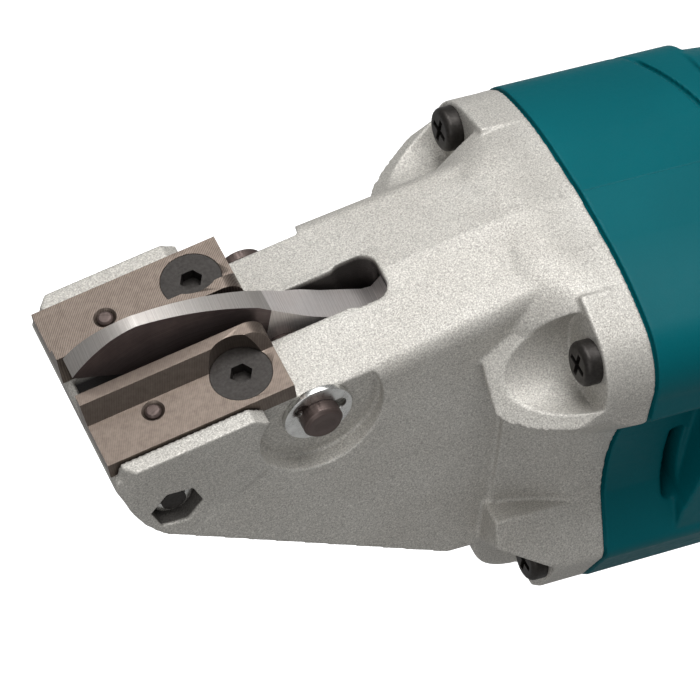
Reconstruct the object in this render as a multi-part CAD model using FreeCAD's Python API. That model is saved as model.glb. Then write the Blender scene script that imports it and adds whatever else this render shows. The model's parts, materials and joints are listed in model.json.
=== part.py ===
import FreeCAD, Part
import math
import os
from FreeCAD import Vector

# Electric three-blade shear for fibre-cement siding: a moving beak blade cuts up and down between two
# fixed side blades. Millimetres. While it is drawn, X runs rearwards along the motor axis (Y = Z = 0),
# X = 0 is near the gear housing's screw heads, +Z is up and -Y is the user's left.
# Every piece is moved onto DATUM when it is saved: the middle of the cutting mouth.

# ---- driving dimensions -----------------------------------------------------------------------------
BLADE_TILT = 15.1            # slope of the side blades against the motor axis, degrees
BLADE_FRONT = (-92.8, 21.5)  # X, Z of the side blades' front edge on their flat upper face
BLADE_LENGTH = 38.4
BLADE_HALF_WIDTH = 19.5      # outer edge of each side blade, from the middle plane
BLADE_THICK = 4.0
LIP_HEIGHT = 4.0             # raised cutting lip along the slot, above the flat face
LIP_FOOT = 9.5               # where the lip's slope meets the flat face
LIP_CREST = 7.2
SLOT_HALF = 4.6              # half width of the slot that the beak blade moves in
BEAK_HALF = 2.45             # half thickness of the beak blade's cutting part
SHANK_HALF = 3.6             # half thickness of the beak blade inside the head

PIVOT = (-49.6, 21.4)        # X, Z of the beak blade's pivot pin
PIN_R = 4.0
RUN = 0.04                   # radial clearance of a running fit

CRANK_Z = 16.2               # height of the crank shaft above the motor axis
CRANK_THROW = 2.4
CRANK_PHASE = 49.0           # crank angle from top at rest, degrees
ROLLER_R = 4.0
ROLLER_X = (-23.5, -16.5)
MODULE = 0.6
PINION_TEETH = 9
GEAR_TEETH = 45
GEAR_X = (-4.5, 3.5)

SEAM_X = 11.8                # joint between the gear housing and the motor housing
SCREW_Y = 31.7               # the four long screws, from the motor axis
LOWER_SCREW_Y = 30.6
SCREW_Z = 31.3
SCREW_SEAT_X = 1.6
COLLAR_X = 47.25             # groove over the motor housing, on its middle line
MOTOR_END_X = 112.0          # rear end of the motor housing
WALL = 3.0

GRIP_TOP = (150.0, -22.0)    # X, Z of the grip's centre line, upper end
GRIP_LEAN = 14.0             # degrees from the vertical, foot further back
GRIP_LENGTH = 122.0


# ---- small helpers ----------------------------------------------------------------------------------
def box(x, y, z):
    """Block between the two limits given for each axis."""
    return Part.makeBox(x[1] - x[0], y[1] - y[0], z[1] - z[0], Vector(x[0], y[0], z[0]))


def rod_x(radius, x, y=0.0, z=0.0):
    """Cylinder along X between two X limits."""
    return Part.makeCylinder(radius, x[1] - x[0], Vector(x[0], y, z), Vector(1, 0, 0))


def rod_y(radius, y, x=0.0, z=0.0):
    """Cylinder along Y between two Y limits."""
    return Part.makeCylinder(radius, y[1] - y[0], Vector(x, y[0], z), Vector(0, 1, 0))


def tube_x(outer, inner, x, y=0.0, z=0.0):
    return rod_x(outer, x, y, z).cut(rod_x(inner, x, y, z))


def mirror_y(shape):
    return shape.mirror(Vector(0, 0, 0), Vector(0, 1, 0))


def both_sides(shape):
    return [shape, mirror_y(shape)]


def union(shapes):
    result = shapes[0].fuse(shapes[1:]) if len(shapes) > 1 else shapes[0]
    return result.removeSplitter()


def plate_xz(edges_or_points, y):
    """Closed outline in the XZ plane, given as points or as edges, thickened between two Y limits."""
    if isinstance(edges_or_points[0], tuple):
        points = [Vector(px, y[0], pz) for px, pz in edges_or_points]
        wire = Part.makePolygon(points + points[:1])
        return Part.Face(wire).extrude(Vector(0, y[1] - y[0], 0))
    wire = Part.Wire(edges_or_points)
    face = Part.Face(wire)
    face.translate(Vector(0, y[0], 0))
    return face.extrude(Vector(0, y[1] - y[0], 0))


def blade_point(u, h):
    """X, Z of a point u behind the side blades' front edge and h above their flat face."""
    tilt = math.radians(BLADE_TILT)
    return (BLADE_FRONT[0] + u * math.cos(tilt) - h * math.sin(tilt),
            BLADE_FRONT[1] + u * math.sin(tilt) + h * math.cos(tilt))


def seated(shape):
    """Turns a shape drawn flat, with the blade's front edge at the origin, onto the blades' slope."""
    turned = shape.copy()
    turned.rotate(Vector(0, 0, 0), Vector(0, 1, 0), -BLADE_TILT)
    turned.translate(Vector(BLADE_FRONT[0], 0, BLADE_FRONT[1]))
    return turned


def arc(start, through, end):
    """Arc in the XZ plane through three X, Z points."""
    return Part.Arc(*[Vector(px, 0, pz) for px, pz in (start, through, end)]).toShape()


def line(start, end):
    return Part.makeLine(Vector(start[0], 0, start[1]), Vector(end[0], 0, end[1]))


def rims(shape, radius):
    """Circular edges of a shape that have this radius."""
    circles = [e for e in shape.Edges if isinstance(e.Curve, Part.Circle)]
    return [e for e in circles if abs(e.Curve.Radius - radius) < 0.01]


def hexagon_rod_y(across_flats, y, x, z):
    """Hexagonal prism along Y."""
    radius = across_flats / math.sqrt(3)
    corners = [(x + radius * math.cos(math.radians(60 * i)), z + radius * math.sin(math.radians(60 * i)))
               for i in range(6)]
    return plate_xz(corners, y)


def rounded_wire(centre, along_a, a, along_b, b, radius):
    """Rounded rectangle wire: half sizes a and b along two directions, with corner radius."""
    def at(u, v):
        return centre + along_a * u + along_b * v

    edges = []
    inset = radius * (1 - math.sqrt(0.5))
    for su, sv, turn in ((1, 1, 0), (-1, 1, 1), (-1, -1, 0), (1, -1, 1)):
        side_start, side_end = at(su * a, sv * (b - radius)), at(su * (a - radius), sv * b)
        bend = at(su * (a - inset), sv * (b - inset))
        if turn:
            side_start, side_end = side_end, side_start
        edges.append(Part.Arc(side_start, bend, side_end).toShape())
    closed = []
    for number, edge in enumerate(edges):
        following = edges[(number + 1) % 4]
        closed += [edge, Part.makeLine(edge.Vertexes[-1].Point, following.Vertexes[0].Point)]
    return Part.Wire(closed)


# ---- cutting head -----------------------------------------------------------------------------------
SCREW_U, SCREW_OUT = 30.5, 12.25       # countersunk blade screws
PIN_U, PIN_OUT = 12.4, 12.05           # blade locating pins
SCREW_HEAD_R = 6.1


def side_blade():
    """The fixed blade on the user's left: flat body with a raised sloping lip along the slot."""
    section = [(-SLOT_HALF, -BLADE_THICK), (-SLOT_HALF, LIP_HEIGHT), (-LIP_CREST, LIP_HEIGHT),
               (-LIP_FOOT, 0.0), (-BLADE_HALF_WIDTH, 0.0), (-BLADE_HALF_WIDTH, -BLADE_THICK)]
    points = [Vector(0, y, z) for y, z in section]
    blade = Part.Face(Part.makePolygon(points + points[:1])).extrude(Vector(BLADE_LENGTH, 0, 0))
    corner = 4.0
    end = box((BLADE_LENGTH - corner, BLADE_LENGTH + 1), (-LIP_FOOT - 1, 0), (0.0, LIP_HEIGHT + 1))
    end = end.cut(rod_y(corner, (-LIP_FOOT - 1, 0), BLADE_LENGTH - corner, 0.0))
    blade = blade.cut(end)
    screw = Part.makeCone(3.3, SCREW_HEAD_R, 3.3, Vector(SCREW_U, -SCREW_OUT, -3.6))
    sink = Part.makeCylinder(SCREW_HEAD_R, LIP_HEIGHT + 1.0, Vector(SCREW_U, -SCREW_OUT, -0.3))
    through = Part.makeCylinder(3.3, BLADE_THICK + 1, Vector(SCREW_U, -SCREW_OUT, -BLADE_THICK - 0.5))
    pin = Part.makeCylinder(1.6, BLADE_THICK + 1, Vector(PIN_U, -PIN_OUT, -BLADE_THICK - 0.5))
    rim = Part.makeCone(1.6, 2.3, 0.7, Vector(PIN_U, -PIN_OUT, -0.7))
    return seated(blade.cut([screw, sink, through, pin, rim]))


def blade_screw():
    """Countersunk socket screw, M6, drawn on the user's left."""
    seat = Vector(SCREW_U, -SCREW_OUT, 0)
    head = Part.makeCone(3.0, SCREW_HEAD_R - 0.1, 3.3, seat + Vector(0, 0, -3.6))
    cap = Part.makeCylinder(SCREW_HEAD_R - 0.1, 0.25, seat + Vector(0, 0, -0.3))
    shank = Part.makeCylinder(3.0, 11.0, seat + Vector(0, 0, -14.5))
    flats = [Vector(SCREW_U + 2.31 * math.cos(math.radians(60 * i)),
                    -SCREW_OUT + 2.31 * math.sin(math.radians(60 * i)), 0.1) for i in range(6)]
    hexagon = Part.Face(Part.makePolygon(flats + flats[:1])).extrude(Vector(0, 0, -2.6))
    return seated(union([head, cap, shank]).cut(hexagon))


def blade_pin():
    """Locating pin pressed through a side blade into the head."""
    pin = Part.makeCylinder(1.6, 8.0, Vector(PIN_U, -PIN_OUT, -8.2))
    tip = Part.makeCone(1.6, 1.2, 0.4, Vector(PIN_U, -PIN_OUT, -0.2))
    return seated(pin.fuse(tip).removeSplitter())


FORK_SLOT_Z = (8.7, 26.9)     # clear height of the fork: it holds every position of the roller
FORK_PRONG = 3.9
FORK_X = (-24.5, -17.5)


def centre_blade():
    """Beak blade: convex back, straight cutting edge, thicker shank, hub and open fork."""
    tip_top, crown, back = blade_point(0.9, 6.6), blade_point(15.3, 12.3), blade_point(39.0, 3.1)
    tip_low, heel = blade_point(1.9, 5.6), blade_point(24.0, -6.2)
    dip = blade_point(60.9, -13.1)
    hub_r = 9.0
    hub_low = (PIVOT[0] - 2.0, PIVOT[1] - hub_r)
    beak = [arc(tip_top, blade_point(7.6, 10.9), crown), arc(crown, blade_point(27.5, 9.0), back),
            line(back, (back[0], hub_low[1])), line((back[0], hub_low[1]), heel),
            line(heel, tip_low), line(tip_low, tip_top)]
    edge = plate_xz(beak, (-BEAK_HALF, BEAK_HALF))
    bend, step = blade_point(44.5, -1.7), blade_point(53.0, -8.1)
    slot_low, slot_high = FORK_SLOT_Z
    shank_outline = [back, bend, step, dip, (FORK_X[0] - 4.0, dip[1]), (FORK_X[0], slot_high + FORK_PRONG),
                     (FORK_X[1], slot_high + FORK_PRONG), (FORK_X[1], slot_low - FORK_PRONG),
                     (FORK_X[0] - 3.0, slot_low - FORK_PRONG), (PIVOT[0] + 4.0, PIVOT[1] - hub_r),
                     (back[0] - 0.5, PIVOT[1] - hub_r)]
    shank = plate_xz(shank_outline, (-SHANK_HALF, SHANK_HALF))
    hub = rod_y(hub_r, (-SHANK_HALF, SHANK_HALF), *PIVOT)
    yoke = box(FORK_X, (-6.2, 6.2), (slot_low - FORK_PRONG, slot_high + FORK_PRONG))
    blade = union([edge, shank, hub, yoke])
    for relief in relief_cut():
        blade = blade.cut([relief, mirror_y(relief)])
    gap = box((FORK_X[0] - 1.0, FORK_X[1] + 1), (-7, 7), FORK_SLOT_Z)
    return blade.cut([gap, rod_y(PIN_R + RUN, (-10, 10), *PIVOT)])


def relief_cut():
    """Metal ground off the beak blade's left face: a thin back above the cutting edge, and a concave
    run where the blade grows to the thicker shank. Stations are u, half width at the back and at
    the edge."""
    low, edge, high = -26.0, 0.6, 14.0
    upper, lower = [], []
    stations = ((1.0, 2.43, 2.45), (10.0, 1.46, 2.45), (16.0, 1.2, 2.45), (30.0, 1.38, 2.45),
                (39.0, 1.5, 2.45), (44.5, 2.6, 2.9), (48.0, 3.4, 3.5), (50.0, 3.7, 3.7))
    for u, back_half, edge_half in stations:
        upper.append([(-edge_half, edge), (-back_half, high), (-6.0, high), (-6.0, edge)])
        lower.append([(-edge_half, low), (-edge_half, edge), (-6.0, edge), (-6.0, low)])
        for outline in (upper, lower):
            corners = [Vector(u, y, h) for y, h in outline[-1]]
            outline[-1] = Part.makePolygon(corners + corners[:1])
    return [seated(Part.makeLoft(upper, True, True)), seated(Part.makeLoft(lower[3:], True, True))]


def pivot_pin():
    """Headed pin through the head, with a groove for its ring."""
    shaft = rod_y(PIN_R, (-22.4, PIN_HEAD_FACE + 0.4), *PIVOT)
    tip = Part.makeCone(PIN_R - 0.7, PIN_R, 0.7, Vector(PIVOT[0], -23.1, PIVOT[1]), Vector(0, 1, 0))
    head = rod_y(5.0, (PIN_HEAD_FACE, PIN_HEAD_FACE + 1.8), *PIVOT)
    groove = rod_y(PIN_R + 1, (-20.2, -18.9), *PIVOT).cut(rod_y(3.2, (-20.2, -18.9), *PIVOT))
    return union([shaft, tip, head]).cut(groove)


def pivot_ring():
    """E-ring: open at the lower rear, with three inner teeth that grip the groove."""
    y = (-20.15, -18.95)
    ring = rod_y(7.0, y, *PIVOT).cut(rod_y(3.2, y, *PIVOT))
    for angle in (20.0, 150.0):
        bite = rod_y(1.5, y, PIVOT[0] + 4.3 * math.cos(math.radians(angle)),
                     PIVOT[1] + 4.3 * math.sin(math.radians(angle)))
        ring = ring.cut(bite)
    mouth = box((-2.6, 2.6), y, (-8.0, 0.0))
    mouth.rotate(Vector(0, 0, 0), Vector(0, 1, 0), -25)
    mouth.translate(Vector(PIVOT[0], 0, PIVOT[1]))
    return ring.cut(mouth)


TIE = (-78.6, 7.8)            # X, Z of the bolt that ties the jaw walls
TIE_R = 2.5


def tie_bolt():
    shaft = rod_y(TIE_R, (-21.4, 17.5), *TIE)
    head = rod_y(4.3, (17.5, 21.5), *TIE)
    return union([shaft, head]).cut(hexagon_rod_y(4.0, (19.0, 22.0), *TIE))


def tie_nut():
    nut = hexagon_rod_y(8.0, (-20.6, -16.6), *TIE)
    chamfer = Part.makeCone(3.9, 8.4, 4.5, Vector(TIE[0], -20.6, TIE[1]), Vector(0, 1, 0))
    return nut.common(chamfer).cut(rod_y(TIE_R, (-30, 0), *TIE))


PLATE_SCREWS = [(-19.2, -24.0), (19.2, -24.0), (-19.2, 29.5), (19.2, 29.5)]   # Y, Z
PLATE_SCREW_TIP_X = -2.0


# ---- gear housing -----------------------------------------------------------------------------------
HEAD_TOP = -4.6               # ridge of the head's roof, below the side blades' flat face
ROOF_FALL = 0.1               # how the roof falls to each side of its ridge
SEAT = -BLADE_THICK
SIDE_Y, SIDE_DRAFT = 23.2, 0.13    # flat side of the head at Z = 5, and how it widens downwards
TILT_SLOPE = math.tan(math.radians(BLADE_TILT))
HEAD_REAR_X = -6.0
JAW_FRONT_X = -91.4
NOSE = [(JAW_FRONT_X, 15.6), (-87.6, 8.7), (-84.7, 4.4), (-80.8, 0.9), (-76.0, -1.2)]   # X, Z down the front
LEVER_GAP = 3.8               # half width of the slot for the beak blade's shank
PIN_FACE = 18.9               # spot faces around the pivot pin's ring and its head, from the middle plane
PIN_HEAD_FACE = 16.8
SPOT_R = 13.3


def head_side(z):
    """Half width of the head at a height."""
    return SIDE_Y + SIDE_DRAFT * (5.0 - z)


def head_wedge():
    """Tapering body that carries the blades: flat seat, low ridged roof behind it, drafted sides."""
    top_rear = blade_point(93.0, HEAD_TOP)
    seat_rear = blade_point(BLADE_LENGTH + 0.1, SEAT)
    seat_front = (JAW_FRONT_X, seat_rear[1] - (seat_rear[0] - JAW_FRONT_X) * TILT_SLOPE)
    outline = [seat_front, seat_rear, blade_point(BLADE_LENGTH + 0.1, HEAD_TOP), top_rear,
               (HEAD_REAR_X + 8, 41.2), (HEAD_REAR_X + 8, -31.0), (-12.5, -28.7)] + NOSE[::-1]
    blank = plate_xz(outline, (-40, 40))
    low, high = -45.0, 45.0
    corners = [Vector(-100, -head_side(low), low), Vector(-100, head_side(low), low),
               Vector(-100, head_side(high), high), Vector(-100, -head_side(high), high)]
    drafted = Part.Face(Part.makePolygon(corners + corners[:1])).extrude(Vector(110, 0, 0))
    wedge = blank.common(drafted)
    for side in (-1, 1):
        eave = HEAD_TOP - 45 * ROOF_FALL
        above = [(0, HEAD_TOP), (side * 45, eave), (side * 45, 60), (0, 60)]
        points = [Vector(BLADE_LENGTH + 0.1, y, h) for y, h in above]
        off_cut = Part.Face(Part.makePolygon(points + points[:1])).extrude(Vector(80, 0, 0))
        wedge = wedge.cut(seated(off_cut))
    top_edges = []
    for edge in wedge.Edges:
        middle = edge.CenterOfMass
        along = edge.Vertexes[-1].Point - edge.Vertexes[0].Point
        if edge.Length > 30 and abs(along.z) > 5 and middle.z > 25 and abs(middle.y) > 15:
            top_edges.append(edge)
    return wedge.makeFillet(4.0, top_edges)


def jaw_walls():
    """Walls that stand outside the side blades, with a chamfered front corner."""
    low, high = (-72.0, 1.5), -0.7
    front = blade_point(2.3, high)
    outline = [front, blade_point(28.5, high), blade_point(31.8, -3.4), (-60.0, 12.0), low] + NOSE[::-1]
    wall = plate_xz(outline, (-SIDE_Y, -BLADE_HALF_WIDTH - 0.3))
    rear, edge = front[0] + 1.8, -SIDE_Y
    corner = [(-93, -30), (rear, -30), (rear, edge), (front[0] - 0.6, edge + 3.0), (-93, edge + 3.4)]
    points = [Vector(x, y, 8.0) for x, y in corner]
    chamfer = Part.Face(Part.makePolygon(points + points[:1])).extrude(Vector(0, 0, 40))
    return both_sides(wall.cut(chamfer))


# Right halves of two outlines as Y, Z points from the top down: the four-lobed joint to the motor
# housing, and the plain front of the bell. The points numbered in ARC_MIDDLES are middles of arcs.
SEAM_OUTLINE = [(0, 42.0), (13.5, 41.3), (23.0, 39.9), (31.0, 37.6), (37.6, 32.6), (39.7, 24.0), (39.9, 18.6),
                (31.8, 7.1), (30.3, -3.4), (31.6, -13.4), (37.4, -24.4), (37.9, -26.3), (37.3, -28.3),
                (33.0, -38.6), (30.5, -41.3), (0, -41.5)]
BELL_OUTLINE = [(0, 37.0), (12.0, 36.4), (16.5, 34.5), (20.0, 30.0), (21.2, 25.5), (22.2, 21.0), (23.0, 17.0),
                (24.6, 6.0), (25.7, -3.4), (26.3, -13.4), (26.8, -20.0), (27.3, -21.5), (27.1, -23.0),
                (26.6, -28.5), (25.0, -30.6), (0, -31.0)]
ARC_MIDDLES = (2, 4, 8, 11)


def outline_wire(x, half, full_sides=False):
    """Closed symmetrical wire at X; with full_sides a straight flank replaces the waist between lobes."""
    edges = []
    for side in (1, -1):
        points = [Vector(x, side * y, z) for y, z in half]
        number = 0
        while number < len(points) - 1:
            if full_sides and number == 6:
                edges.append(Part.makeLine(points[6], points[10]))
                number = 10
            elif number + 1 in ARC_MIDDLES:
                edges.append(Part.Arc(points[number], points[number + 1], points[number + 2]).toShape())
                number += 2
            else:
                edges.append(Part.makeLine(points[number], points[number + 1]))
                number += 1
    return Part.Wire(Part.__sortEdges__(edges))


def grown(half, margin):
    """Outline moved outwards from the motor axis by a margin."""
    bigger = []
    for y, z in half:
        reach = math.hypot(y, z)
        bigger.append((y * (1 + margin / reach), z * (1 + margin / reach)))
    return bigger


def bell_station(share, top, bottom):
    """Outline between the bell's front and the seam, with its own height above and below the axis."""
    half = []
    for (ya, za), (yb, zb) in zip(BELL_OUTLINE, SEAM_OUTLINE):
        z = za / BELL_OUTLINE[0][1] * (1 - share) + zb / SEAM_OUTLINE[0][1] * share
        if z < 0:
            z = za / -BELL_OUTLINE[-1][1] * (1 - share) + zb / -SEAM_OUTLINE[-1][1] * share
        half.append((ya + (yb - ya) * share, z * top if z > 0 else -z * bottom))
    return half


def bell():
    """Rear of the gear housing, growing from a low step on the head to the four-lobed seam."""
    stations = [(-10.2, 0.0, 37.0, -31.0), (-8.0, 0.11, 38.8, -37.0), (-4.0, 0.30, 40.6, -40.4),
                (2.0, 0.68, 41.8, -41.5), (SEAM_X, 1.0, 42.0, -41.5)]
    return Part.makeLoft([outline_wire(x, bell_station(*rest)) for x, *rest in stations], True)


UPPER_BOSS_R, UPPER_POCKET_R = 12.6, 9.6
LOWER_POCKET_R = 6.2
BOSS_RIM = Vector(-7.1, -26.9, 27.8)         # a point on the sloping rim of the upper left boss
BOSS_SLOPE = Vector(-0.53, -0.49, 0.70)      # the way that rim faces; the lower one faces down alike
FRONT_X = -16.0


def rim_cutter(upper):
    """Large block on the open side of a left boss's sloping rim."""
    flip = 1 if upper else -1
    facing = Vector(BOSS_SLOPE.x, BOSS_SLOPE.y, BOSS_SLOPE.z * flip)
    return Part.makeCylinder(60, 60, Vector(BOSS_RIM.x, BOSS_RIM.y, BOSS_RIM.z * flip), facing)


def screw_bosses():
    """Thick-rimmed shoulders around the four long screws, cut off along sloping rims."""
    lobes = Part.Face(outline_wire(FRONT_X, SEAM_OUTLINE)).extrude(Vector(SEAM_X - FRONT_X, 0, 0))
    upper = rod_x(UPPER_BOSS_R, (FRONT_X, SEAM_X), -SCREW_Y, SCREW_Z).common(lobes)
    lower = box((-11.5, SEAM_X), (-60, -22.0), (-60, -14.0)).common(lobes)
    seat_ring = box((SCREW_SEAT_X, SEAM_X), (-60, 60), (-60, 60))
    shoulders = []
    for boss, is_upper in ((upper, True), (lower, False)):
        open_side = rim_cutter(is_upper).cut(seat_ring)
        shoulders += both_sides(boss.cut(open_side))
    return shoulders


def screw_places():
    """Y, Z and pocket radius of the four long screws."""
    return [(side * SCREW_Y, SCREW_Z, UPPER_POCKET_R) for side in (-1, 1)] + [
        (side * LOWER_SCREW_Y, -SCREW_Z, LOWER_POCKET_R) for side in (-1, 1)]


def head_slots():
    """Everything cut for the beak blade: the jaw slot, the lever slot, the roof pocket and fork room."""
    roof_pocket = box((54.9, 64.5), (-5.6, 5.6), (-22.0, 8.0))
    corners = [e for e in roof_pocket.Edges if abs(e.Vertexes[0].Z - e.Vertexes[-1].Z) > 5]
    roof_pocket = roof_pocket.makeFillet(3.4, corners)
    jaw = plate_xz([(-90.0, 30.0), (-46.0, 45.0), (-46.0, 8.0), (-66.0, -12.0), (-90.0, 2.0)],
                   (-SLOT_HALF, SLOT_HALF))
    nose_bridge = box((-95.0, -89.5), (-SLOT_HALF - 1, SLOT_HALF + 1), (-12.0, 17.2))
    lever = plate_xz([(-62.0, 40.0), (-34.0, 45.0), (-14.0, 34.0), (-14.0, -1.4), (-62.0, -1.4)],
                     (-LEVER_GAP, LEVER_GAP))
    roof = seated(box((57.0, 95.0), (-10, 10), (-8.2, 12.0)))
    lever = lever.cut(roof)
    fork_room = box((-27.0, -12.4), (-8.0, 8.0), (-1.4, 32.2))
    return [jaw.cut(nose_bridge), lever, seated(roof_pocket), fork_room,
            seated(box((BLADE_LENGTH - 0.5, 57.0), (-4.75, 4.75), (-18.0, 6.0)))]


def gear_chamber():
    """Room for the gears, the bearing seats and the recess for the bearing plate."""
    chamber = rounded_block((-5.6, 5.0), (-16.5, 16.5), (-22.0, 32.0), 6.0)
    recess = rounded_block((5.0, SEAM_X + 1), (-26.0, 26.0), (-30.0, 35.5), 8.0)
    bearing = rod_x(12.0, (-12.2, -5.0), 0, CRANK_Z)
    throat = rod_x(8.2, (-16.0, -11.0), 0, CRANK_Z)
    belly = plate_xz([(-50.0, -6.0), (-9.0, -6.0), (-9.0, -22.0), (-13.0, -22.0), (-50.0, -7.5)], (-16, 16))
    tapped = [rod_x(2.0, (PLATE_SCREW_TIP_X, 6.0), y, z) for y, z in PLATE_SCREWS]
    return [chamber, recess, bearing, throat, belly] + tapped


def rounded_block(x, y, z, radius):
    """Block with its four edges along X rounded."""
    block = box(x, y, z)
    edges = [e for e in block.Edges if abs(e.Vertexes[0].X - e.Vertexes[-1].X) > 0.5]
    return block.makeFillet(radius, edges)


def gear_housing():
    """Aluminium casting: head, jaw walls, bell and screw shoulders, with its machined cuts."""
    casting = union([head_wedge()] + jaw_walls() + [bell()] + screw_bosses())
    casting = casting.cut(box((SEAM_X, 60), (-60, 60), (-60, 60)))
    cuts = head_slots() + gear_chamber()
    for y, z, pocket in screw_places():
        cuts.append(rod_x(2.75, (-5, 20), y, z))
        cuts.append(rod_x(pocket, (-30, SCREW_SEAT_X), y, z))
        if z < 0:
            cuts.append(box((-30, SCREW_SEAT_X), (y - pocket, y + pocket), (-60, z)))
    cuts.append(rod_y(PIN_R, (-40, 40), *PIVOT))
    cuts.append(rod_y(SPOT_R, (-40, -PIN_FACE), *PIVOT))
    cuts.append(rod_y(SPOT_R, (PIN_HEAD_FACE, 40), *PIVOT))
    cuts.append(rod_y(TIE_R, (-40, 40), *TIE))
    cuts.append(hexagon_rod_y(9.4, (-40, -16.6), *TIE))
    cuts.append(rod_y(4.6, (17.5, 40), *TIE))
    for hole_u, hole_y, radius, depth in ((SCREW_U, SCREW_OUT, 3.0, 15.5), (PIN_U, PIN_OUT, 1.6, 8.2)):
        drill = seated(Part.makeCylinder(radius, depth, Vector(hole_u, -hole_y, -depth)))
        cuts += both_sides(drill)
    return casting.cut(cuts)


# ---- gear train -------------------------------------------------------------------------------------
def spur_teeth(teeth, x, tooth_angle, z=0.0, backlash=0.05):
    """Solid spur gear blank with involute teeth; one tooth points along tooth_angle in the YZ plane."""
    pressure = math.radians(25)
    pitch = MODULE * teeth / 2
    base = pitch * math.cos(pressure)
    tip, root = pitch + 0.8 * MODULE, pitch - 1.05 * MODULE
    half = math.pi / (2 * teeth) - backlash / pitch

    def involute(radius):
        turn = math.acos(min(1.0, base / radius))
        return math.tan(turn) - turn

    points = []
    for tooth in range(teeth):
        middle = math.radians(tooth_angle) + 2 * math.pi * tooth / teeth
        radii = [max(base, root) + (tip - max(base, root)) * i / 4 for i in range(5)]
        flank = [(r, half + involute(pitch) - involute(r)) for r in radii]
        if root < base:
            flank = [(root, flank[0][1])] + flank
        for r, offset in flank:
            points.append(Vector(x[0], r * math.cos(middle - offset), z + r * math.sin(middle - offset)))
        for r, offset in reversed(flank):
            points.append(Vector(x[0], r * math.cos(middle + offset), z + r * math.sin(middle + offset)))
    return Part.Face(Part.makePolygon(points + points[:1])).extrude(Vector(x[1] - x[0], 0, 0))


def crank_pin_centre():
    angle = math.radians(CRANK_PHASE)
    return CRANK_THROW * math.sin(angle), CRANK_Z + CRANK_THROW * math.cos(angle)


def crank_shaft():
    """Shaft that carries the gear and ends in an eccentric pin."""
    pin_y, pin_z = crank_pin_centre()
    return union([rod_x(3.0, (5.0, 11.0), 0, CRANK_Z), rod_x(4.5, (-6.2, 5.0), 0, CRANK_Z),
                  rod_x(6.0, (-12.2, -6.2), 0, CRANK_Z), rod_x(6.6, (-14.8, -12.2), 0, CRANK_Z),
                  rod_x(2.5, (-23.9, -14.8), pin_y, pin_z)])


def crank_roller():
    pin_y, pin_z = crank_pin_centre()
    roller = tube_x(ROLLER_R, 2.5, ROLLER_X, pin_y, pin_z)
    return roller.makeChamfer(0.4, rims(roller, ROLLER_R))


def drive_gear():
    gear = spur_teeth(GEAR_TEETH, GEAR_X, 90.0, CRANK_Z)
    web = tube_x(11.0, 7.0, (GEAR_X[0] - 1, GEAR_X[0] + 2.5), 0, CRANK_Z)
    rear = tube_x(11.0, 7.0, (GEAR_X[1] - 2.5, GEAR_X[1] + 1), 0, CRANK_Z)
    keyway = box((GEAR_X[0] - 1, GEAR_X[1] + 1), (-1.0, 1.0), (CRANK_Z, CRANK_Z + 5.7))
    return gear.cut([web, rear, rod_x(4.5, (-10, 10), 0, CRANK_Z), keyway])


def gear_key():
    """Square key between the gear and the crank shaft's flat."""
    return box((GEAR_X[0], GEAR_X[1]), (-0.95, 0.95), (CRANK_Z + 4.55, CRANK_Z + 5.6))


def ball_bearing(bore, outer, x, y=0.0, z=0.0):
    """Shielded ball bearing as one solid, with running clearance on the shaft in its bore."""
    bore += RUN
    race = (outer - bore) * 0.28
    body = tube_x(outer, bore, x, y, z)
    for start, end in ((x[0] - 1, x[0] + 0.4), (x[1] - 0.4, x[1] + 1)):
        body = body.cut(tube_x(outer - race, bore + race, (start, end), y, z))
    return body


def bearing_plate():
    """Aluminium plate between the gears and the motor, holding two bearings."""
    plate = rounded_block((5.05, SEAM_X), (-25.95, 25.95), (-29.95, 35.45), 7.95)
    cuts = [rod_x(9.5, (5.8, 20)), rod_x(6.0, (0, 20)),
            rod_x(6.5, (0, 10.6), 0, CRANK_Z), rod_x(4.0, (0, 11.1), 0, CRANK_Z)]
    for y, z in PLATE_SCREWS:
        cuts += [rod_x(2.05, (0, 20), y, z), rod_x(3.9, (9.6, 20), y, z)]
    return plate.cut(cuts)


def cross_recess(head_face_x, y, z, size, depth, toward):
    """Cross-shaped driver recess cut into a screw head that faces -X (toward -1) or +X (toward 1)."""
    x = sorted((head_face_x + toward * 0.5, head_face_x - toward * depth))
    return [box(x, (y - size, y + size), (z - size * 0.22, z + size * 0.22)),
            box(x, (y - size * 0.22, y + size * 0.22), (z - size, z + size))]


def plate_screws():
    solids = []
    for y, z in PLATE_SCREWS:
        screw = union([rod_x(2.0, (PLATE_SCREW_TIP_X, 9.6), y, z), rod_x(3.7, (9.6, 11.5), y, z)])
        solids.append(screw.cut(cross_recess(11.5, y, z, 2.0, 1.2, 1)))
    return solids


def head_screws():
    """Four long pan-head screws that join gear housing and motor housing."""
    solids = []
    for y, z, _ in screw_places():
        head = rod_x(4.5, (SCREW_SEAT_X - 3.4, SCREW_SEAT_X), y, z)
        rim = [e for e in rims(head, 4.5) if e.CenterOfMass.x < SCREW_SEAT_X - 1]
        head = head.makeFillet(1.3, rim)
        screw = union([head, rod_x(2.5, (SCREW_SEAT_X, 36.0), y, z)])
        solids.append(screw.cut(cross_recess(SCREW_SEAT_X - 3.4, y, z, 2.6, 2.0, -1)))
    return solids


# ---- motor ------------------------------------------------------------------------------------------
def armature_shaft():
    """Motor shaft with its pinion cut on the front end."""
    pinion = spur_teeth(PINION_TEETH, (GEAR_X[0] - 0.5, GEAR_X[1] + 0.5), 90.0)
    neck = rod_x(2.2, (GEAR_X[1] + 0.5, 5.6))
    journals = [rod_x(3.5, (5.6, 12.0)), rod_x(3.5, (103.4, 110.5))]
    return union([pinion, neck, rod_x(5.0, (12.0, 103.4))] + journals)


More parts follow.
